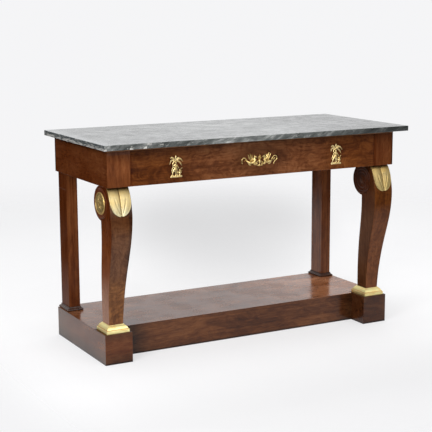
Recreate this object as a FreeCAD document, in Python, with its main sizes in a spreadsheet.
"""French Empire pier table: a marble slab on a mahogany frame with one frieze drawer.

Frame: X along the table, front towards -Y, Z up.  The origin is on the floor under the
centre of the marble slab.  Lengths are in millimetres.
"""
import FreeCAD, Part
import math
import os
import re
import Sketcher

DOCUMENT = FreeCAD.newDocument("pier_table")
SHEET = DOCUMENT.addObject("Spreadsheet::Sheet", "Dims")

# ---------------------------------------------------------------- driving dimensions
DIMENSIONS = {
    # marble slab
    "overall_height": 900,
    "marble_length": 1437,
    "marble_depth": 650,
    "marble_thick": 22,
    "marble_arris": 1.5,
    "front_overhang": 62,
    "back_overhang": 27,
    "end_overhang": 35.5,
    # frieze
    "frieze_height": 153,
    "corner_block_width": 98.5,
    "corner_block_depth": 100,
    "panel_thick": 22,
    "top_rail_height": 12,
    "panel_tenon": 18,
    "wood_arris": 1.2,
    # drawer and what carries it
    "drawer_front_thick": 22,
    "drawer_gap": 0.8,
    "drawer_lift": 0.3,
    "drawer_top_gap": 1,
    "drawer_side_thick": 12,
    "drawer_back_space": 48,
    "drawer_back_drop": 10,
    "drawer_bottom_thick": 8,
    "drawer_bottom_rise": 6,
    "groove_depth": 5,
    "dovetail_length": 16,
    "dovetail_root": 15,
    "dovetail_flare": 4,
    "muntin_width": 50,
    "muntin_thick": 18,
    "bearer_thick": 18,
    "bearer_setback": 2,
    "runner_width": 48,
    "guide_width": 20,
    "guide_height": 22,
    "stub_tenon": 10,
    "stop_length": 40,
    "stop_depth": 16,
    "stop_height": 5,
    "stop_spacing": 600,
    "stop_gap": 0.2,
    # front legs
    "leg_setback": 26,
    "leg_foot_width": 58,
    "leg_foot_depth": 67,
    "leg_head_width": 94,
    "leg_head_height": 115,
    "knee_height": 265,
    "knee_forward": 38,
    "knee_depth": 85.5,
    "belly_drop": 130,
    "belly_forward": 75.5,
    "crown_back": 45.5,
    "scroll_radius": 70.5,
    "scroll_setback": 95,
    "leg_arris": 1.5,
    "leg_tenon_width": 40,
    "leg_tenon_depth": 26,
    "leg_tenon_height": 45,
    "peg_radius": 4,
    "peg_length": 70,
    "peg_clearance": 0.05,
    # gilt and turned work on the legs
    "roundel_radius": 62,
    "roundel_thick": 3,
    "rosette_radius": 47,
    "rosette_thick": 5,
    "stud_radius": 3,
    "stud_length": 22,
    "leaf_thick": 3.5,
    "leaf_half_width": 46,
    "leaf_drop": 5,
    "leaf_height": 110,
    "collar_height": 33,
    "collar_fillet": 12,
    "collar_margin": 19.5,
    "collar_lip": 2.5,
    # rear posts
    "post_width": 50,
    "post_depth": 86,
    "post_side_inset": 9.5,
    "post_back_inset": 9,
    "post_tenon_height": 60,
    "base_moulding_height": 15,
    "base_moulding_fillet": 5,
    "base_moulding_margin": 8,
    "base_moulding_lip": 1.5,
    "neck_line_drop": 70,
    "neck_line_width": 1.5,
    # plinth
    "plinth_end_step": 6.5,
    "plinth_front_setback": 37,
    "plinth_height": 125,
    "plinth_block_width": 119,
    "plinth_recess": 96,
    "plinth_board": 22,
    "plinth_top_thick": 20,
    "crossbar_width": 45,
    "crossbar_height": 60,
    "crossbar_spacing": 460,
    "glue_block_length": 60,
    "glue_block_width": 24,
    # frieze mounts
    "palm_height": 88,
    "palm_inset": 201,
    "palm_foot_rise": 22.5,
    "griffin_length": 178,
    "griffin_height": 60,
    "griffin_foot_rise": 40.5,
    "mount_thick": 4,
    "pin_radius": 0.9,
    "pin_depth": 12,
    "pin_head": 0.6,
    "pin_clearance": 0.05,
}

# Places worked out from the driving dimensions.
PLACES = {
    "frieze_top": "overall_height - marble_thick",
    "frieze_bottom": "frieze_top - frieze_height",
    "frieze_front": "front_overhang - marble_depth / 2",
    "frieze_back": "marble_depth / 2 - back_overhang",
    "frieze_side": "marble_length / 2 - end_overhang",
    "block_inner": "frieze_side - corner_block_width",
    "block_back": "frieze_front + corner_block_depth",
    "panel_inner": "frieze_side - panel_thick",
    "back_inner": "frieze_back - panel_thick",
    "rail_bottom": "frieze_top - top_rail_height",
    "drawer_half": "block_inner - drawer_gap",
    "drawer_face_back": "frieze_front + drawer_front_thick",
    "drawer_rear": "back_inner - drawer_back_space",
    "drawer_side_outer": "drawer_half - drawer_gap",
    "drawer_side_inner": "drawer_side_outer - drawer_side_thick",
    "bearer_front": "drawer_face_back + bearer_setback",
    "bearer_top": "frieze_bottom + bearer_thick",
    "drawer_foot": "bearer_top + drawer_lift",
    "drawer_top": "rail_bottom - drawer_top_gap",
    "bottom_low": "drawer_foot + drawer_bottom_rise",
    "bottom_high": "bottom_low + drawer_bottom_thick",
    "runner_inner": "block_inner + guide_width - runner_width",
    "runner_outer": "block_inner + guide_width",
    "plinth_side": "frieze_side + plinth_end_step",
    "plinth_back": "frieze_back",
    "plinth_front": "frieze_front + plinth_front_setback",
    "plinth_block_inner": "plinth_side - plinth_block_width",
    "plinth_body_front": "plinth_front + plinth_recess",
    "plinth_block_back": "plinth_body_front + plinth_board",
    "plinth_under": "plinth_height - plinth_top_thick",
    "leg_x": "plinth_side - plinth_block_width / 2",
    "foot_front": "plinth_front + leg_setback",
    "foot_back": "foot_front + leg_foot_depth",
    "foot_middle": "foot_front + leg_foot_depth / 2",
    "belly_front": "foot_front - belly_forward",
    "scroll_y": "belly_front + scroll_setback",
    "scroll_z": "frieze_bottom - scroll_radius",
    "crown_front": "belly_front + crown_back",
    "leg_tenon_front": "(crown_front + scroll_y - leg_tenon_depth) / 2",
    "leg_side": "leg_x + leg_head_width / 2",
    "leg_inside": "leg_x - leg_head_width / 2",
    "post_outer": "frieze_side - post_side_inset",
    "post_inner": "post_outer - post_width",
    "post_back": "frieze_back - post_back_inset",
    "post_front": "post_back - post_depth",
    "post_x": "post_outer - post_width / 2",
    "post_middle": "post_back - post_depth / 2",
    "palm_middle": "block_inner - palm_inset",
}

for row, (alias, size) in enumerate(DIMENSIONS.items(), start=1):
    SHEET.set(f"A{row}", alias)
    SHEET.set(f"B{row}", str(size))
    SHEET.setAlias(f"B{row}", alias)
DOCUMENT.recompute()

# ---------------------------------------------------------------- formulas and helpers
SIDES = (("left", -1), ("right", 1))
X_AXIS = FreeCAD.Vector(1, 0, 0)
Y_AXIS = FreeCAD.Vector(0, 1, 0)
Z_AXIS = FreeCAD.Vector(0, 0, 1)
SUBPARTS = []


def formula(text):
    """Spell a formula out in cells of the sheet: places are opened until only cells are left."""
    def spell(word):
        name = word.group(0)
        if name in DIMENSIONS:
            return f"Dims.{name}"
        if name in PLACES:
            return f"({formula(PLACES[name])})"
        return name
    return re.sub(r"[a-z_]+", spell, str(text))


def size(text):
    """The value of a formula, for shapes that are set directly."""
    return float(SHEET.evalExpression(formula(text)))


def bind(thing, prop, text):
    thing.setExpression(prop, formula(text))


def seat(thing, x=0, y=0, z=0):
    for axis, text in zip("xyz", (x, y, z)):
        bind(thing, f"Placement.Base.{axis}", text)
    return thing


def keep(thing):
    """List an object as a finished sub-part."""
    SUBPARTS.append(thing)
    return thing


def mirrored(sign, inner, outer):
    """The span from inner to outer on one side of the table, low end first."""
    if sign > 0:
        return inner, outer
    return f"-({outer})", f"-({inner})"


def board(name, x, y, z):
    """A rectangular board that fills the spans x, y and z, each a pair of formulas."""
    thing = DOCUMENT.addObject("Part::Box", name)
    for prop, (low, high) in zip(("Length", "Width", "Height"), (x, y, z)):
        bind(thing, prop, f"({high}) - ({low})")
    return seat(thing, x[0], y[0], z[0])


def join(name, pieces):
    thing = DOCUMENT.addObject("Part::MultiFuse", name)
    thing.Shapes = pieces
    thing.Refine = True
    return thing


def cut(name, base, tools):
    """Base with every tool taken out of it."""
    thing = DOCUMENT.addObject("Part::Cut", name)
    thing.Base = base
    thing.Tool = tools[0] if len(tools) == 1 else join(f"{name}_cutters", tools)
    return thing


def group(name, pieces):
    """Separate solids that share one node."""
    thing = DOCUMENT.addObject("Part::Compound", name)
    thing.Links = pieces
    return thing


def rod(name, radius, length, direction, x, y, z):
    """A round bar that starts at x, y, z and runs along direction."""
    thing = DOCUMENT.addObject("Part::Cylinder", name)
    bind(thing, "Radius", radius)
    bind(thing, "Height", length)
    thing.Placement = FreeCAD.Placement(FreeCAD.Vector(), FreeCAD.Rotation(Z_AXIS, direction))
    return seat(thing, x, y, z)


def freeform(name, shape):
    thing = DOCUMENT.addObject("Part::Feature", name)
    thing.Shape = shape
    thing.Placement = FreeCAD.Placement()
    return thing


def soften(name, base, radius, chosen):
    """Round the edges of base that chosen(edge) picks."""
    DOCUMENT.recompute()
    thing = DOCUMENT.addObject("Part::Fillet", name)
    thing.Base = base
    worn = size(radius)
    thing.Edges = [
        (index, worn, worn) for index, edge in enumerate(base.Shape.Edges, start=1) if chosen(edge)
    ]
    return thing


def on_line(edge, **places):
    """True when every point of the edge keeps to the given coordinates."""
    box = edge.BoundBox
    spans = {"x": (box.XMin, box.XMax), "y": (box.YMin, box.YMax), "z": (box.ZMin, box.ZMax)}
    for axis, place in places.items():
        if any(abs(end - size(place)) > 0.01 for end in spans[axis]):
            return False
    return True


def outline_sketch(body, outline):
    """A closed sketch on the body's XY plane, every corner held by two bound distances."""
    sketch = body.newObject("Sketcher::SketchObject", f"{body.Name}_outline")
    plane = [item for item in body.Origin.OriginFeatures if item.Role == "XY_Plane"][0]
    sketch.AttachmentSupport = [(plane, "")]
    sketch.MapMode = "FlatFace"
    corners = [FreeCAD.Vector(size(across), size(along), 0) for across, along in outline]
    count = len(corners)
    for index in range(count):
        sketch.addGeometry(Part.LineSegment(corners[index], corners[(index + 1) % count]), False)
    for index in range(count):
        following = (index + 1) % count
        sketch.addConstraint(Sketcher.Constraint("Coincident", index, 2, following, 1))
    for index, texts in enumerate(outline):
        for kind, text in zip(("DistanceX", "DistanceY"), texts):
            place = sketch.addConstraint(Sketcher.Constraint(kind, -1, 1, index, 1, size(text)))
            bind(sketch, f"Constraints[{place}]", text)
    return sketch


def turned(name, outline):
    """A turned piece: the outline, as radius and height, goes round the body's Y axis."""
    body = DOCUMENT.addObject("PartDesign::Body", name)
    sketch = outline_sketch(body, outline)
    turning = body.newObject("PartDesign::Revolution", f"{name}_turning")
    turning.Profile = sketch
    turning.ReferenceAxis = (sketch, ["V_Axis"])
    turning.Angle = 360
    return body


def padded(name, outline, thickness):
    """A board cut to an outline in plan."""
    body = DOCUMENT.addObject("PartDesign::Body", name)
    sketch = outline_sketch(body, outline)
    pad = body.newObject("PartDesign::Pad", f"{name}_pad")
    pad.Profile = sketch
    bind(pad, "Length", thickness)
    return body, pad


def prism(points, direction):
    """A solid from a flat outline, given as points, pushed along direction."""
    return Part.Face(Part.makePolygon(points + points[:1])).extrude(direction)


# ---------------------------------------------------------------- marble slab
def make_marble():
    half_length = "marble_length / 2"
    half_depth = "marble_depth / 2"
    corners = [
        (f"-{half_length}", f"-{half_depth}"),
        (half_length, f"-{half_depth}"),
        (half_length, half_depth),
        (f"-{half_length}", half_depth),
    ]
    body, pad = padded("marble_top", corners, "marble_thick")
    DOCUMENT.recompute()
    flat_edges = [
        f"Edge{index}" for index, edge in enumerate(pad.Shape.Edges, start=1)
        if edge.BoundBox.ZLength < 0.01
    ]
    arris = body.newObject("PartDesign::Fillet", "marble_top_arris")
    arris.Base = (pad, flat_edges)
    bind(arris, "Radius", "marble_arris")
    seat(body, z="frieze_top")
    keep(body)


# ---------------------------------------------------------------- frieze frame
def make_frieze():
    """Corner blocks, rails and panels that carry the slab and hold the drawer."""
    full_height = ("frieze_bottom", "frieze_top")
    rail = board("top_rail_board", ("-frieze_side", "frieze_side"), ("frieze_front", "block_back"),
                 ("rail_bottom", "frieze_top"))
    rail_stubs = []
    bearer_parts = [board("bearer_board", ("-block_inner", "block_inner"),
                          ("bearer_front", "block_back"), ("frieze_bottom", "bearer_top"))]
    bearer_mortises = []
    back_mortises = []
    for side, sign in SIDES:
        tenon_x = mirrored(sign, "block_inner", "block_inner + panel_tenon")
        bearer_tenon = board(f"bearer_tenon_{side}", tenon_x,
                             ("bearer_front + stub_tenon", "block_back - stub_tenon"),
                             ("frieze_bottom + bearer_thick / 4", "bearer_top - bearer_thick / 4"))
        bearer_parts.append(bearer_tenon)
        panel = board(f"panel_board_{side}", mirrored(sign, "panel_inner", "frieze_side"),
                      ("block_back", "frieze_back"), full_height)
        panel_tenon = board(f"panel_tenon_{side}",
                            mirrored(sign, "panel_inner", "frieze_side - panel_thick / 2"),
                            ("block_back - panel_tenon", "block_back"),
                            ("frieze_bottom + panel_tenon", "rail_bottom - panel_tenon"))
        keep(join(f"side_panel_{side}", [panel, panel_tenon]))

        block = board(f"block_{side}", mirrored(sign, "block_inner", "frieze_side"),
                      ("frieze_front", "block_back"), ("frieze_bottom", "rail_bottom"))
        leg_mortise = board(f"leg_mortise_{side}", leg_tenon_span(sign),
                            ("leg_tenon_front", "leg_tenon_front + leg_tenon_depth"),
                            ("frieze_bottom", "frieze_bottom + leg_tenon_height"))
        peg_hole = leg_peg(f"block_peg_hole_{side}", sign, "peg_radius + peg_clearance",
                           "frieze_bottom + leg_tenon_height / 2",
                           "leg_tenon_front + leg_tenon_depth / 2", "block_inner")
        keep(cut(f"corner_block_{side}", block, [leg_mortise, bearer_tenon, panel_tenon, peg_hole]))

        runner_x = mirrored(sign, "runner_inner", "runner_outer")
        stub_z = ("frieze_bottom + bearer_thick / 3", "bearer_top - bearer_thick / 3")
        runner = board(f"runner_board_{side}", runner_x, ("block_back", "back_inner"),
                       ("frieze_bottom", "bearer_top"))
        inner_x = mirrored(sign, "runner_inner", "block_inner")
        front_stub = board(f"runner_front_stub_{side}", inner_x,
                           ("block_back - stub_tenon", "block_back"), stub_z)
        back_stub = board(f"runner_back_stub_{side}", runner_x,
                          ("back_inner", "back_inner + stub_tenon"), stub_z)
        keep(join(f"drawer_runner_{side}", [runner, front_stub, back_stub]))
        bearer_mortises.append(front_stub)
        back_mortises.append(back_stub)

        keep(board(f"drawer_guide_{side}", mirrored(sign, "block_inner", "runner_outer"),
                   ("block_back", "back_inner"), ("bearer_top", "bearer_top + guide_height")))

        kicker_z = ("rail_bottom + top_rail_height / 3", "frieze_top - top_rail_height / 3")
        kicker = board(f"kicker_board_{side}", runner_x, ("block_back", "back_inner"),
                       ("rail_bottom", "frieze_top"))
        kicker_front = board(f"kicker_front_stub_{side}", runner_x,
                             ("block_back - stub_tenon", "block_back"), kicker_z)
        kicker_back = board(f"kicker_back_stub_{side}", runner_x,
                            ("back_inner", "back_inner + stub_tenon"), kicker_z)
        keep(join(f"drawer_kicker_{side}", [kicker, kicker_front, kicker_back]))
        rail_stubs.append(kicker_front)
        back_mortises.append(kicker_back)

    centre_x = ("-runner_width / 2", "runner_width / 2")
    centre_z = ("rail_bottom + top_rail_height / 3", "frieze_top - top_rail_height / 3")
    centre = board("centre_kicker_board", centre_x, ("block_back", "back_inner"),
                   ("rail_bottom", "frieze_top"))
    centre_front = board("centre_kicker_front_stub", centre_x,
                         ("block_back - stub_tenon", "block_back"), centre_z)
    centre_back = board("centre_kicker_back_stub", centre_x,
                        ("back_inner", "back_inner + stub_tenon"), centre_z)
    keep(join("centre_kicker", [centre, centre_front, centre_back]))

    keep(cut("front_top_rail", rail, rail_stubs + [centre_front]))
    keep(cut("drawer_bearer_rail", join("bearer_tenoned", bearer_parts), bearer_mortises))
    back = board("back_board", ("-panel_inner", "panel_inner"), ("back_inner", "frieze_back"),
                 full_height)
    keep(cut("back_rail", back, back_mortises + [centre_back]))

    stops = []
    for side, sign in SIDES:
        near = "(stop_spacing - stop_length) / 2"
        far = "(stop_spacing + stop_length) / 2"
        stops.append(board(f"stop_{side}", mirrored(sign, near, far),
                           ("drawer_face_back + stop_gap", "drawer_face_back + stop_gap + stop_depth"),
                           ("bearer_top", "bearer_top + stop_height")))
    keep(group("drawer_stops", stops))


# ---------------------------------------------------------------- drawer
def dovetails(side, sign):
    """Tails on the front end of a drawer side, wider at their tips."""
    count = 4
    pitch = f"(drawer_top - drawer_foot) / {count}"
    tails = []
    for index in range(count):
        middle = f"drawer_foot + {pitch} * {index + 0.5}"
        tail = DOCUMENT.addObject("Part::Wedge", f"tail_{side}_{index + 1}")
        low, high = mirrored(sign, "drawer_side_inner", "drawer_side_outer")
        for prop, text in (
            ("Xmin", low), ("X2min", low), ("Xmax", high), ("X2max", high),
            ("Ymin", "drawer_face_back - dovetail_length"), ("Ymax", "drawer_face_back"),
            ("Zmin", f"{middle} - dovetail_root / 2 - dovetail_flare"),
            ("Zmax", f"{middle} + dovetail_root / 2 + dovetail_flare"),
            ("Z2min", f"{middle} - dovetail_root / 2"),
            ("Z2max", f"{middle} + dovetail_root / 2"),
        ):
            bind(tail, prop, text)
        tails.append(tail)
    return tails


def make_drawer():
    """A dovetailed box whose two bottom panels slide in grooves from behind."""
    box_y = ("drawer_face_back", "drawer_rear")
    groove_reach = "drawer_side_inner + groove_depth"
    panels = {}
    for side, sign in SIDES:
        panels[side] = board(
            f"drawer_bottom_{side}",
            mirrored(sign, "muntin_width / 2 - groove_depth", groove_reach),
            ("drawer_face_back - groove_depth", "drawer_rear"), ("bottom_low", "bottom_high"))
    back = board("drawer_back",
                 (f"-({groove_reach})", groove_reach),
                 ("drawer_rear - drawer_side_thick", "drawer_rear"),
                 ("bottom_high", "drawer_top - drawer_back_drop"))
    all_tails = []
    for side, sign in SIDES:
        tails = dovetails(side, sign)
        all_tails += tails
        plain = board(f"drawer_side_board_{side}", mirrored(sign, "drawer_side_inner", "drawer_side_outer"),
                      box_y, ("drawer_foot", "drawer_top"))
        keep(cut(f"drawer_side_{side}", join(f"drawer_side_tailed_{side}", [plain] + tails),
                 [panels[side], back]))
    muntin_tenon = board("muntin_tenon", ("-muntin_width / 2 + groove_depth",
                                          "muntin_width / 2 - groove_depth"),
                         ("drawer_face_back - groove_depth", "drawer_face_back"),
                         ("bottom_low", "bottom_high"))
    muntin = board("muntin_board", ("-muntin_width / 2", "muntin_width / 2"), box_y,
                   ("bearer_top + drawer_top_gap", "bearer_top + drawer_top_gap + muntin_thick"))
    keep(cut("drawer_muntin", join("muntin_tenoned", [muntin, muntin_tenon]),
             [panels["left"], panels["right"], back]))
    for side, _ in SIDES:
        keep(panels[side])
    keep(back)
    face = board("drawer_face", ("-drawer_half", "drawer_half"),
                 ("frieze_front", "drawer_face_back"), ("frieze_bottom", "rail_bottom - drawer_gap"))
    socketed = cut("drawer_face_socketed", face,
                   all_tails + [panels["left"], panels["right"], muntin_tenon] + pin_rods("hole"))
    keep(soften("drawer_front", socketed, "wood_arris",
                lambda edge: on_line(edge, y="frieze_front") and edge.Length > size("frieze_height / 2")))


# ---------------------------------------------------------------- frieze mounts
def palm_point(across, up):
    """A point of a palm mount: both numbers are parts of its height, from its foot's middle."""
    high = size("palm_height")
    return FreeCAD.Vector(across * high, 0, up * high)


def griffin_point(across, up):
    """A point of the griffin mount: parts of its half length and of its height."""
    return FreeCAD.Vector(across * size("griffin_length / 2"), 0, up * size("griffin_height"))


def limb(start, end, start_width, end_width, thick):
    """A tapering bar with rounded ends, lying on the drawer front."""
    run = end - start
    aside = FreeCAD.Vector(-run.z, 0, run.x).normalize()
    points = [start + aside * start_width, end + aside * end_width,
              end - aside * end_width, start - aside * start_width]
    push = FreeCAD.Vector(0, -thick, 0)
    shape = prism(points, push)
    for centre, radius in ((start, start_width), (end, end_width)):
        shape = shape.fuse(Part.makeCylinder(radius, thick, centre, FreeCAD.Vector(0, -1, 0)))
    return shape


def frond(start, end, width, thick):
    """A leaf between two points, bounded by two arcs."""
    run = end - start
    aside = FreeCAD.Vector(-run.z, 0, run.x).normalize() * width
    middle = (start + end) / 2
    blade = Part.Wire([Part.Arc(start, middle + aside, end).toShape(),
                       Part.Arc(end, middle - aside, start).toShape()])
    return Part.Face(blade).extrude(FreeCAD.Vector(0, -thick, 0))


def palm_shape():
    """A palm with a standing figure before it and an urn beside it, on a rocky foot."""
    high = size("palm_height")
    thick = size("mount_thick")
    solids = [frond(palm_point(-0.36, 0.03), palm_point(0.36, 0.03), 0.035 * high, thick)]
    solids.append(limb(palm_point(-0.32, 0.03), palm_point(0.30, 0.03), 0.03 * high, 0.03 * high, thick))
    crown = palm_point(-0.02, 0.74)
    fronds = ((-0.34, 0.82), (-0.38, 0.66), (-0.17, 0.93), (0.0, 1.0),
              (0.16, 0.93), (0.31, 0.80), (0.31, 0.62))
    for across, up in fronds:
        solids.append(frond(crown, palm_point(across, up), 0.055 * high, thick * 0.8))
    bars = (
        ((-0.02, 0.10), (-0.02, 0.76), 0.035, 0.03),
        ((-0.05, 0.62), (-0.05, 0.64), 0.055, 0.055),
        ((-0.07, 0.55), (-0.04, 0.36), 0.085, 0.07),
        ((-0.08, 0.36), (-0.26, 0.05), 0.045, 0.03),
        ((0.0, 0.36), (0.05, 0.05), 0.045, 0.03),
        ((-0.12, 0.54), (-0.22, 0.40), 0.028, 0.022),
        ((0.0, 0.54), (0.14, 0.36), 0.028, 0.022),
        ((0.24, 0.06), (0.24, 0.26), 0.05, 0.10),
        ((0.24, 0.30), (0.24, 0.36), 0.09, 0.05),
    )
    for start, end, start_width, end_width in bars:
        solids.append(limb(palm_point(*start), palm_point(*end),
                           start_width * high, end_width * high, thick))
    return solids[0].multiFuse(solids[1:]).removeSplitter()


def griffin_shape():
    """Two seated griffins that face a burning urn, their tails curled into scrolls."""
    high = size("griffin_height")
    thick = size("mount_thick")
    urn = (
        ((0.0, 0.06), (0.0, 0.12), 0.06, 0.10),
        ((0.0, 0.18), (0.0, 0.42), 0.05, 0.13),
        ((0.0, 0.55), (0.0, 0.78), 0.12, 0.05),
    )
    solids = [limb(griffin_point(*start), griffin_point(*end), first * high, last * high, thick)
              for start, end, first, last in urn]
    solids.append(limb(griffin_point(-0.55, 0.16), griffin_point(0.55, 0.16),
                       0.07 * high, 0.07 * high, thick))
    for _, sign in SIDES:
        bars = (
            ((0.22, 0.30), (0.52, 0.30), 0.16, 0.14),
            ((0.22, 0.34), (0.24, 0.62), 0.13, 0.08),
            ((0.24, 0.66), (0.15, 0.66), 0.09, 0.05),
            ((0.24, 0.26), (0.10, 0.14), 0.07, 0.06),
        )
        for start, end, first, last in bars:
            solids.append(limb(griffin_point(sign * start[0], start[1]),
                               griffin_point(sign * end[0], end[1]),
                               first * high, last * high, thick))
        for tip in ((0.50, 0.98), (0.42, 0.94), (0.58, 0.86)):
            solids.append(frond(griffin_point(sign * 0.33, 0.28), griffin_point(sign * tip[0], tip[1]),
                                0.10 * high, thick))
        tail_start = griffin_point(sign * 0.52, 0.26)
        tail_bend = griffin_point(sign * 0.76, 0.66)
        solids.append(limb(tail_start, tail_bend, 0.05 * high, 0.045 * high, thick))
        scroll_outer = 0.24 * high
        scroll_centre = FreeCAD.Vector(sign * (size("griffin_length / 2") - scroll_outer), 0, 0.50 * high)
        away = FreeCAD.Vector(0, -1, 0)
        ring = Part.makeCylinder(scroll_outer, thick, scroll_centre, away)
        ring = ring.cut(Part.makeCylinder(0.16 * high, thick, scroll_centre, away))
        solids.append(ring)
    return solids[0].multiFuse(solids[1:]).removeSplitter()


def pin_places():
    """Where brass pins hold the frieze mounts: name, x and z."""
    places = []
    for side, sign in SIDES:
        palm_x = f"{sign} * palm_middle - palm_height * 0.02"
        foot_z = "frieze_bottom + palm_foot_rise"
        places.append((f"palm_{side}_foot", palm_x, f"{foot_z} + palm_height * 0.03"))
        places.append((f"palm_{side}_crown", palm_x, f"{foot_z} + palm_height * 0.74"))
        places.append((f"griffin_{side}", f"{sign} * griffin_length * 0.2",
                       "frieze_bottom + griffin_foot_rise + griffin_height * 0.3"))
    return places


def pin_rods(use):
    """The pins themselves, or the slightly wider rods that drill their holes."""
    radius = "pin_radius" if use == "pin" else "pin_radius + pin_clearance"
    head = "pin_head" if use == "pin" else 0
    start = f"frieze_front - mount_thick - {head}"
    length = f"mount_thick + pin_depth + {head}"
    return [rod(f"{use}_{name}", radius, length, Y_AXIS, x, start, z) for name, x, z in pin_places()]


def make_frieze_mounts():
    palm = palm_shape()
    for side, sign in SIDES:
        base = freeform(f"palm_relief_{side}", palm)
        seat(base, f"{sign} * palm_middle", "frieze_front", "frieze_bottom + palm_foot_rise")
        keep(cut(f"palm_mount_{side}", base, pin_rods(f"palm_{side}_drill")))
    relief = freeform("griffin_relief", griffin_shape())
    seat(relief, 0, "frieze_front", "frieze_bottom + griffin_foot_rise")
    keep(cut("griffin_mount", relief, pin_rods("griffin_drill")))
    keep(group("frieze_mount_pins", pin_rods("pin")))


# ---------------------------------------------------------------- front legs
def leg_tenon_span(sign):
    return mirrored(sign, "leg_x - leg_tenon_width / 2", "leg_x + leg_tenon_width / 2")


def leg_peg(name, sign, radius, height, depth, start):
    """A round bar driven outwards, from the inner face at start, through a leg's tenon."""
    direction = X_AXIS * sign
    return rod(name, radius, "peg_length", direction, f"{sign} * ({start})", depth, height)


def leg_front_curve(proud=0):
    """The leg's front line from foot to crown, in the YZ plane, moved forward by proud."""
    foot = FreeCAD.Vector(0, size("foot_front"), size("plinth_height"))
    knee = FreeCAD.Vector(0, size("foot_front - knee_forward"), size("plinth_height + knee_height"))
    belly = FreeCAD.Vector(0, size("belly_front"), size("frieze_bottom - belly_drop"))
    crown = FreeCAD.Vector(0, size("crown_front"), size("frieze_bottom"))
    curve = Part.BSplineCurve()
    curve.interpolate(Points=[foot, knee, belly, crown],
                      InitialTangent=FreeCAD.Vector(0, 0, 1),
                      FinalTangent=FreeCAD.Vector(0, 0.75, 0.65))
    if proud == 0:
        return curve
    steps = 24
    first, last = curve.FirstParameter, curve.LastParameter
    moved = []
    for step in range(steps + 1):
        place = first + (last - first) * step / steps
        ahead = curve.tangent(place)[0]
        moved.append(curve.value(place) + FreeCAD.Vector(0, -ahead.z, ahead.y) * proud)
    outer = Part.BSplineCurve()
    outer.interpolate(moved)
    return outer


def leg_side_face():
    """The leg seen from the side: two curves, a scroll and flat ends."""
    front = leg_front_curve()
    foot_back = FreeCAD.Vector(0, size("foot_back"), size("plinth_height"))
    knee_back = FreeCAD.Vector(0, size("foot_front - knee_forward + knee_depth"),
                               size("plinth_height + knee_height"))
    radius = size("scroll_radius")
    centre = FreeCAD.Vector(0, size("scroll_y"), size("scroll_z"))
    meeting_turn = math.radians(-86)
    meeting = centre + FreeCAD.Vector(0, math.cos(meeting_turn), math.sin(meeting_turn)) * radius
    back = Part.BSplineCurve()
    back.interpolate(Points=[foot_back, knee_back, meeting],
                     InitialTangent=FreeCAD.Vector(0, 0, 1),
                     FinalTangent=FreeCAD.Vector(0, 0, 1))
    top = centre + Z_AXIS * radius
    scroll = Part.Arc(meeting, centre + Y_AXIS * radius, top)
    crown = front.value(front.LastParameter)
    foot = front.value(front.FirstParameter)
    edges = [
        Part.LineSegment(foot, foot_back).toShape(),
        back.toShape(),
        scroll.toShape(),
        Part.LineSegment(top, crown).toShape(),
        front.toShape(),
    ]
    return Part.Face(Part.Wire(edges))


def leg_shape():
    """One leg about x = 0, without its tenons: side outline and front outline in common."""
    half_head = size("leg_head_width / 2")
    half_foot = size("leg_foot_width / 2")
    face = leg_side_face()
    face.translate(FreeCAD.Vector(-half_head, 0, 0))
    side = face.extrude(FreeCAD.Vector(half_head * 2, 0, 0))
    low = size("plinth_height")
    shoulder = size("frieze_bottom - leg_head_height")
    high = size("frieze_bottom")
    near = size("belly_front") - half_head
    reach = size("leg_foot_depth + belly_forward + scroll_setback + scroll_radius") + half_head
    corners = ((-half_foot, low), (half_foot, low), (half_head, shoulder), (half_head, high),
               (-half_head, high), (-half_head, shoulder))
    front = prism([FreeCAD.Vector(x, near, z) for x, z in corners], Y_AXIS * reach)
    leg = side.common(front).removeSplitter()
    front_reach = size("foot_front + leg_arris")
    front_arrises = [
        edge for edge in leg.Edges
        if edge.BoundBox.ZLength > size("scroll_radius") and edge.BoundBox.YMax < front_reach
    ]
    return leg.makeFillet(size("leg_arris"), front_arrises)


def leaf_shape():
    """A long leaf that lies on the front of a leg's head, about x = 0."""
    inner = leg_front_curve()
    outer = leg_front_curve(size("leaf_thick"))
    ends = [
        Part.LineSegment(inner.value(inner.LastParameter), outer.value(outer.LastParameter)),
        Part.LineSegment(outer.value(outer.FirstParameter), inner.value(inner.FirstParameter)),
    ]
    skin = Part.Face(Part.Wire([inner.toShape(), ends[0].toShape(), outer.toShape(), ends[1].toShape()]))
    half_head = size("leg_head_width / 2")
    skin.translate(FreeCAD.Vector(-half_head, 0, 0))
    skin = skin.extrude(FreeCAD.Vector(half_head * 2, 0, 0))
    half = size("leaf_half_width")
    high = size("frieze_bottom - leaf_drop")
    low = high - size("leaf_height")
    turn = low + half
    near = size("belly_front") - half_head
    side_left = Part.LineSegment(FreeCAD.Vector(-half, near, high), FreeCAD.Vector(-half, near, turn))
    round_tip = Part.Arc(FreeCAD.Vector(-half, near, turn), FreeCAD.Vector(0, near, low),
                         FreeCAD.Vector(half, near, turn))
    side_right = Part.LineSegment(FreeCAD.Vector(half, near, turn), FreeCAD.Vector(half, near, high))
    top = Part.LineSegment(FreeCAD.Vector(half, near, high), FreeCAD.Vector(-half, near, high))
    blade = Part.Face(Part.Wire([edge.toShape() for edge in (side_left, round_tip, side_right, top)]))
    return skin.common(blade.extrude(Y_AXIS * size("leg_foot_depth + crown_back + belly_forward")))


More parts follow.
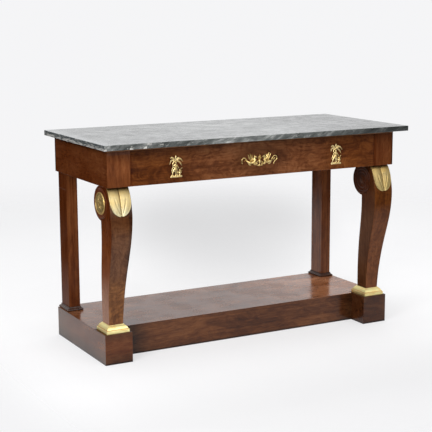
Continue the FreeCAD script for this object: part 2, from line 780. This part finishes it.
def moulding_shape(half_x, half_y, margin, lip, fillet, height):
    """A mitred base round a rectangular foot, standing at z = 0: a flat fillet below a hollow."""
    profiles = []
    for half in (half_x, half_y):
        wide = half + margin
        narrow = half + lip
        sag = FreeCAD.Vector(narrow + (wide - narrow) * 0.35, 0, fillet + (height - fillet) * 0.4)
        right_hollow = Part.Arc(FreeCAD.Vector(wide, 0, fillet), sag, FreeCAD.Vector(narrow, 0, height))
        left_hollow = Part.Arc(FreeCAD.Vector(-narrow, 0, height), FreeCAD.Vector(-sag.x, 0, sag.z),
                               FreeCAD.Vector(-wide, 0, fillet))
        lines = [
            Part.LineSegment(FreeCAD.Vector(-wide, 0, 0), FreeCAD.Vector(wide, 0, 0)),
            Part.LineSegment(FreeCAD.Vector(wide, 0, 0), FreeCAD.Vector(wide, 0, fillet)),
            right_hollow,
            Part.LineSegment(FreeCAD.Vector(narrow, 0, height), FreeCAD.Vector(-narrow, 0, height)),
            left_hollow,
            Part.LineSegment(FreeCAD.Vector(-wide, 0, fillet), FreeCAD.Vector(-wide, 0, 0)),
        ]
        profiles.append(Part.Face(Part.Wire([line.toShape() for line in lines])))
    along_x, along_y = profiles
    deep = half_y + margin
    along_x.translate(FreeCAD.Vector(0, -deep, 0))
    across = along_x.extrude(Y_AXIS * deep * 2)
    along_y.rotate(FreeCAD.Vector(), Z_AXIS, 90)
    broad = half_x + margin
    along_y.translate(FreeCAD.Vector(-broad, 0, 0))
    return across.common(along_y.extrude(X_AXIS * broad * 2))


def make_legs():
    """Scrolled legs with turned roundels, gilt rosettes, leaves and collars."""
    shape = leg_shape()
    leaf = leaf_shape()
    leaf_pins = []
    pegs = []
    for side, sign in SIDES:
        carved = freeform(f"leg_carved_{side}", shape)
        seat(carved, f"{sign} * leg_x")
        top_tenon = board(f"leg_top_tenon_{side}", leg_tenon_span(sign),
                          ("leg_tenon_front", "leg_tenon_front + leg_tenon_depth"),
                          ("frieze_bottom", "frieze_bottom + leg_tenon_height"))
        foot_tenon = board(f"leg_foot_tenon_{side}", leg_tenon_span(sign),
                           ("foot_middle - leg_tenon_depth / 2", "foot_middle + leg_tenon_depth / 2"),
                           ("plinth_height - leg_tenon_height", "plinth_height"))
        whole = join(f"leg_tenoned_{side}", [carved, top_tenon, foot_tenon])
        holes = [leg_peg(f"leg_peg_hole_top_{side}", sign, "peg_radius + peg_clearance",
                         "frieze_bottom + leg_tenon_height / 2",
                         "leg_tenon_front + leg_tenon_depth / 2", "block_inner"),
                 leg_peg(f"leg_peg_hole_foot_{side}", sign, "peg_radius + peg_clearance",
                         "plinth_height - leg_tenon_height / 2", "foot_middle", "plinth_block_inner"),
                 rosette_stud(f"stud_hole_{side}", sign, "stud_radius + pin_clearance")]
        drills = leaf_pin_rods(f"leaf_drill_{side}", sign, "pin_radius + pin_clearance",
                               size("leaf_thick"))
        leg = keep(cut(f"front_leg_{side}", whole, holes + drills))
        pegs.append(leg_peg(f"top_peg_{side}", sign, "peg_radius",
                            "frieze_bottom + leg_tenon_height / 2",
                            "leg_tenon_front + leg_tenon_depth / 2", "block_inner"))
        pegs.append(leg_peg(f"foot_peg_{side}", sign, "peg_radius",
                            "plinth_height - leg_tenon_height / 2", "foot_middle",
                            "plinth_block_inner"))

        leaf_plate = freeform(f"leaf_plate_{side}", leaf)
        seat(leaf_plate, f"{sign} * leg_x")
        keep(cut(f"leg_leaf_{side}", leaf_plate,
                 leaf_pin_rods(f"leaf_plate_drill_{side}", sign, "pin_radius + pin_clearance",
                               size("leaf_thick"))))
        leaf_pins += leaf_pin_rods(f"leaf_pin_{side}", sign, "pin_radius", size("pin_head"))

        foot_width = size("leg_foot_width") + (size("leg_head_width - leg_foot_width")
                                               * size("collar_height")
                                               / size("frieze_bottom - leg_head_height - plinth_height"))
        collar = freeform(f"collar_solid_{side}", moulding_shape(
            foot_width / 2, size("leg_foot_depth / 2"), size("collar_margin"), size("collar_lip"),
            size("collar_fillet"), size("collar_height")))
        seat(collar, f"{sign} * leg_x", "foot_middle", "plinth_height")
        keep(cut(f"leg_collar_{side}", collar, [leg]))
        make_roundels(side, sign)
    keep(group("leg_tenon_pegs", pegs))
    keep(group("leaf_pins", leaf_pins))


def leaf_pin_rods(name, sign, radius, head):
    """Two pins at the top of a leaf and one near its tip, square to the frieze."""
    curve = leg_front_curve(size("leaf_thick"))
    rods = []
    high = size("frieze_bottom - leaf_drop")
    spots = ((-0.7, 0.12), (0.7, 0.12), (0.0, 0.85))
    for index, (across, down) in enumerate(spots, start=1):
        height = high - down * size("leaf_height")
        level = Part.LineSegment(FreeCAD.Vector(0, size("belly_front - leg_foot_depth"), height),
                                 FreeCAD.Vector(0, size("foot_back"), height))
        met = curve.intersect(level)[0]
        rods.append(rod(f"{name}_{index}", radius, f"pin_depth + {head}", Y_AXIS,
                        f"{sign} * leg_x + {across} * leaf_half_width", met.Y - head, height))
    return rods


def rosette_stud(name, sign, radius):
    """The threaded stud behind a rosette, from the leg's outer face inwards."""
    return rod(name, radius, "stud_length + roundel_thick", X_AXIS * -sign,
               f"{sign} * (leg_side + roundel_thick)", "scroll_y", "scroll_z")


def make_roundels(side, sign):
    """Turned discs on both faces of a scroll, and the gilt rosette on the outer one."""
    disc = [
        (0, 0), ("roundel_radius", 0), ("roundel_radius", "roundel_thick / 2"),
        ("roundel_radius - roundel_thick", "roundel_thick"), (0, "roundel_thick"),
    ]
    outward = FreeCAD.Rotation(Y_AXIS, X_AXIS * sign)
    inward = FreeCAD.Rotation(Y_AXIS, X_AXIS * -sign)
    outer = turned(f"outer_disc_{side}", disc)
    outer.Placement = FreeCAD.Placement(FreeCAD.Vector(), outward)
    seat(outer, f"{sign} * leg_side", "scroll_y", "scroll_z")
    keep(cut(f"outer_roundel_{side}", outer,
             [rosette_stud(f"roundel_drill_{side}", sign, "stud_radius + pin_clearance")]))
    inner = turned(f"inner_roundel_{side}", disc)
    inner.Placement = FreeCAD.Placement(FreeCAD.Vector(), inward)
    seat(inner, f"{sign} * leg_inside", "scroll_y", "scroll_z")
    keep(inner)
    relief = [
        (0, 0), ("rosette_radius", 0), ("rosette_radius", "rosette_thick * 0.7"),
        ("rosette_radius - 2", "rosette_thick"), ("rosette_radius - 5", "rosette_thick"),
        ("rosette_radius - 8", "rosette_thick * 0.4"), ("rosette_radius * 0.35", "rosette_thick * 0.7"),
        ("rosette_radius * 0.2", "rosette_thick"), (0, "rosette_thick"),
    ]
    face = turned(f"rosette_face_{side}", relief)
    face.Placement = FreeCAD.Placement(FreeCAD.Vector(), outward)
    seat(face, f"{sign} * (leg_side + roundel_thick)", "scroll_y", "scroll_z")
    keep(join(f"rosette_{side}", [face, rosette_stud(f"stud_{side}", sign, "stud_radius")]))


# ---------------------------------------------------------------- rear posts
def make_posts():
    """Square posts with shoulders that carry the frieze, each on a small moulded base."""
    for side, sign in SIDES:
        shaft = board(f"post_shaft_{side}", mirrored(sign, "post_inner", "post_outer"),
                      ("post_front", "post_back"), ("plinth_height", "frieze_bottom"))
        head = board(f"post_head_{side}", mirrored(sign, "post_inner", "panel_inner"),
                     ("post_front", "back_inner"), ("frieze_bottom", "frieze_top"))
        tenon = post_tenon(f"post_tenon_{side}", sign)
        whole = join(f"post_whole_{side}", [shaft, head, tenon])
        scribe = cut(f"post_scribe_{side}",
                     board(f"post_scribe_outer_{side}",
                           mirrored(sign, "post_inner - neck_line_width", "post_outer + neck_line_width"),
                           ("post_front - neck_line_width", "post_back + neck_line_width"),
                           ("frieze_bottom - neck_line_drop - neck_line_width",
                            "frieze_bottom - neck_line_drop")),
                     [board(f"post_scribe_core_{side}",
                            mirrored(sign, "post_inner + neck_line_width / 2",
                                     "post_outer - neck_line_width / 2"),
                            ("post_front + neck_line_width / 2", "post_back - neck_line_width / 2"),
                            ("frieze_bottom - neck_line_drop - neck_line_width * 2",
                             "frieze_bottom - neck_line_drop + neck_line_width"))])
        post = keep(cut(f"rear_post_{side}", whole, [scribe]))
        base = freeform(f"post_base_solid_{side}", moulding_shape(
            size("post_width / 2"), size("post_depth / 2"), size("base_moulding_margin"),
            size("base_moulding_lip"), size("base_moulding_fillet"), size("base_moulding_height")))
        seat(base, f"{sign} * post_x", "post_middle", "plinth_height")
        keep(cut(f"post_base_moulding_{side}", base, [post]))


def post_tenon(name, sign):
    """The tenon under a rear post, through the plinth's top board into the block below it."""
    return board(name, mirrored(sign, "post_x - post_width / 4", "post_x + post_width / 4"),
                 ("post_middle - post_depth / 4", "post_middle + post_depth / 4"),
                 ("plinth_height - post_tenon_height", "plinth_height"))


# ---------------------------------------------------------------- plinth
def make_plinth():
    """A shallow box with a polished top and two square blocks that stand forward."""
    below_top = (0, "plinth_under")
    notches = []
    tenons = []
    for side, sign in SIDES:
        block_x = mirrored(sign, "plinth_block_inner", "plinth_side")
        block_y = ("plinth_front", "plinth_block_back")
        block = board(f"plinth_block_board_{side}", block_x, block_y, (0, "plinth_height"))
        mortise = board(f"foot_mortise_{side}", leg_tenon_span(sign),
                        ("foot_middle - leg_tenon_depth / 2", "foot_middle + leg_tenon_depth / 2"),
                        ("plinth_height - leg_tenon_height", "plinth_height"))
        peg_hole = leg_peg(f"plinth_peg_hole_{side}", sign, "peg_radius + peg_clearance",
                           "plinth_height - leg_tenon_height / 2", "foot_middle",
                           "plinth_block_inner")
        drilled = cut(f"plinth_block_drilled_{side}", block, [mortise, peg_hole])
        keep(soften(f"plinth_block_{side}", drilled, "wood_arris",
                    lambda edge: on_line(edge, y="plinth_front")))
        notches.append(board(f"top_notch_{side}", block_x, block_y, (0, "plinth_height")))
        tenons.append(post_tenon(f"top_mortise_{side}", sign))

        keep(board(f"plinth_side_board_{side}",
                   mirrored(sign, "plinth_side - plinth_board", "plinth_side"),
                   ("plinth_block_back", "plinth_back - plinth_board"), below_top))
        keep(cut(f"post_foot_block_{side}",
                 board(f"foot_block_board_{side}",
                       mirrored(sign, "post_inner", "plinth_side - plinth_board"),
                       ("post_front", "plinth_back - plinth_board"),
                       ("plinth_height - post_tenon_height - plinth_top_thick", "plinth_under")),
                 [tenons[-1]]))
        keep(board(f"plinth_crossbar_{side}",
                   mirrored(sign, "(crossbar_spacing - crossbar_width) / 2",
                            "(crossbar_spacing + crossbar_width) / 2"),
                   ("plinth_block_back", "plinth_back - plinth_board"),
                   ("plinth_under - crossbar_height", "plinth_under")))
    top = board("plinth_top_plain", ("-plinth_side", "plinth_side"),
                ("plinth_body_front", "plinth_back"), ("plinth_under", "plinth_height"))
    shaped = cut("plinth_top_shaped", top, notches + tenons)
    keep(soften("plinth_top_board", shaped, "wood_arris",
                lambda edge: on_line(edge, y="plinth_body_front", z="plinth_height")))
    keep(board("plinth_front_board", ("-plinth_block_inner", "plinth_block_inner"),
               ("plinth_body_front", "plinth_block_back"), below_top))
    keep(board("plinth_back_board", ("-plinth_side", "plinth_side"),
               ("plinth_back - plinth_board", "plinth_back"), below_top))
    outer_bay = "(crossbar_spacing / 2 + plinth_block_inner) / 2"
    blocks = []
    for bay, middle in (("left", f"-{outer_bay}"), ("middle", "0"), ("right", outer_bay)):
        blocks.append(glue_block(f"front_glue_block_{bay}", middle, "plinth_block_back", 1))
        blocks.append(glue_block(f"back_glue_block_{bay}", middle, "plinth_back - plinth_board", -1))
    keep(group("plinth_glue_blocks", blocks))


def glue_block(name, middle, corner, sign):
    """A triangular block in the corner under the top board; sign tells which way it leans."""
    thing = DOCUMENT.addObject("Part::Wedge", name)
    near, far = (corner, f"{corner} + {sign} * glue_block_width")
    low, high = (near, far) if sign > 0 else (far, near)
    tip_low, tip_high = (near, f"{near} + {sign} * glue_block_width / 6")
    if sign < 0:
        tip_low, tip_high = tip_high, tip_low
    for prop, text in (
        ("Xmin", f"{middle} - glue_block_length / 2"), ("X2min", f"{middle} - glue_block_length / 2"),
        ("Xmax", f"{middle} + glue_block_length / 2"), ("X2max", f"{middle} + glue_block_length / 2"),
        ("Ymin", 0), ("Ymax", "glue_block_width"),
        ("Zmin", low), ("Zmax", high), ("Z2min", tip_low), ("Z2max", tip_high),
    ):
        bind(thing, prop, text)
    thing.Placement = FreeCAD.Placement(FreeCAD.Vector(), FreeCAD.Rotation(X_AXIS, -90))
    return seat(thing, z="plinth_under")


# ---------------------------------------------------------------- assembly
def check_and_write():
    DOCUMENT.recompute()
    for item in DOCUMENT.Objects:
        if "Invalid" in item.State or "Error" in item.State:
            raise RuntimeError(f"{item.Name} failed to build: {item.State}")
    os.makedirs("parts", exist_ok=True)
    for item in SUBPARTS:
        if item.Shape.isNull() or not item.Shape.isValid() or not item.Shape.Solids:
            raise RuntimeError(f"{item.Label} has no valid solid")
        item.Shape.exportStep(os.path.join("parts", f"{item.Label}.step"))
    print(f"{len(SUBPARTS)} sub-parts written")


make_marble()
make_frieze()
make_drawer()
make_frieze_mounts()
make_legs()
make_posts()
make_plinth()
check_and_write()
